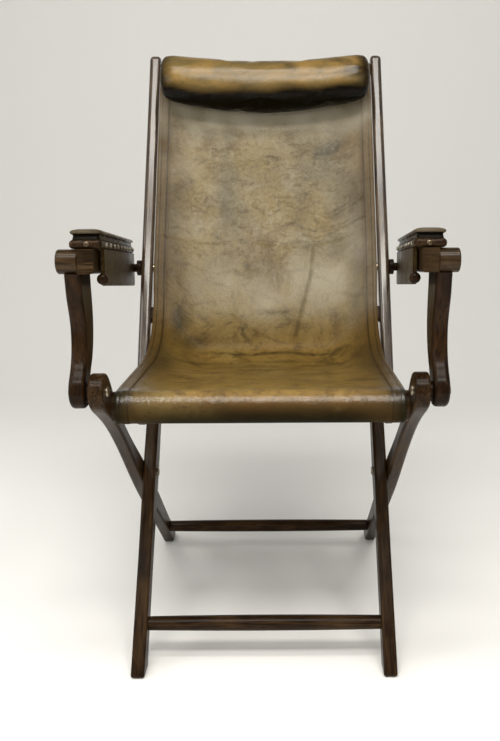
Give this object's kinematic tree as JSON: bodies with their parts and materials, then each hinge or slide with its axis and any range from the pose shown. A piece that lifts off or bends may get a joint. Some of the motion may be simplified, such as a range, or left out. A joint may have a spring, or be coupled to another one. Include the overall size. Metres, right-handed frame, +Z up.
{
  "type": "steamer chair",
  "caption": "Folding steamer armchair with crossed wooden legs, a reclined leather sling seat and back, a head roll, and scrolled padded arms.",
  "frame": {"origin": "on the floor under the middle of the open chair's bounding box", "axes": "+Z up, the chair faces -Y, +X to the right of a viewer who looks along +Y"},
  "size_m": [0.575, 0.6885, 1.0072],
  "materials": {
    "frame_wood": "waxed dark hardwood",
    "pale_wood": "worn olive-brown hardwood",
    "sling_leather": "worn polished ochre-brown hide",
    "pad_leather": "worn dark brown hide",
    "iron": "dull riveted steel"
  },
  "bodies": {
    "rear_frame": {"left_rear_leg": "frame_wood", "right_rear_leg": "frame_wood", "left_cross_bolt": "iron", "right_cross_bolt": "iron", "left_knuckle_bolt": "iron", "right_knuckle_bolt": "iron", "left_knuckle_washer": "iron", "right_knuckle_washer": "iron", "rear_stretcher": "frame_wood", "front_seat_rail": "frame_wood", "seat_leather": "sling_leather"},
    "front_frame": {"left_front_leg": "frame_wood", "right_front_leg": "frame_wood", "left_back_bolt": "iron", "right_back_bolt": "iron", "front_stretcher": "frame_wood", "rear_seat_rail": "frame_wood"},
    "back_frame": {"left_back_stile": "frame_wood", "right_back_stile": "frame_wood", "left_arm_bolt": "iron", "right_arm_bolt": "iron", "lower_back_rail": "frame_wood", "top_rail": "frame_wood", "back_leather": "sling_leather", "head_roll": "sling_leather"},
    "left_arm": {"left_arm_support": "frame_wood", "left_scroll_head": "frame_wood", "left_arm_block": "frame_wood", "left_arm_side_rail": "pale_wood", "left_arm_board": "frame_wood", "left_arm_pad": "pad_leather", "left_arm_peg": "frame_wood", "left_arm_button": "iron"},
    "right_arm": {"right_arm_support": "frame_wood", "right_scroll_head": "frame_wood", "right_arm_block": "frame_wood", "right_arm_side_rail": "pale_wood", "right_arm_board": "frame_wood", "right_arm_pad": "pad_leather", "right_arm_peg": "frame_wood", "right_arm_button": "iron"}
  },
  "joints": [
    {"name": "leg_fold", "type": "hinge", "parent": "rear_frame", "child": "front_frame", "pos_m": [0, -0.0501, 0.269], "axis": [1, 0, 0], "range_deg": [0, 62], "deforming": ["seat_leather"]},
    {"name": "back_fold", "type": "hinge", "parent": "front_frame", "child": "back_frame", "pos_m": [0, 0.0175, 0.36572], "axis": [-1, 0, 0], "range_deg": [0, 111.5]},
    {"name": "left_arm_fold", "type": "hinge", "parent": "rear_frame", "child": "left_arm", "pos_m": [-0.245, -0.31992, 0.47307], "axis": [-1, 0, 0], "range_deg": [0, 20.5]},
    {"name": "right_arm_fold", "type": "hinge", "parent": "rear_frame", "child": "right_arm", "pos_m": [0.245, -0.31992, 0.47307], "axis": [-1, 0, 0], "range_deg": [0, 20.5]}
  ],
  "couplings": [
    {"joint": "back_fold", "follows": "leg_fold", "ratio": 1.787},
    {"joint": "left_arm_fold", "follows": "leg_fold", "ratio": 0.319},
    {"joint": "right_arm_fold", "follows": "leg_fold", "ratio": 0.319}
  ]
}
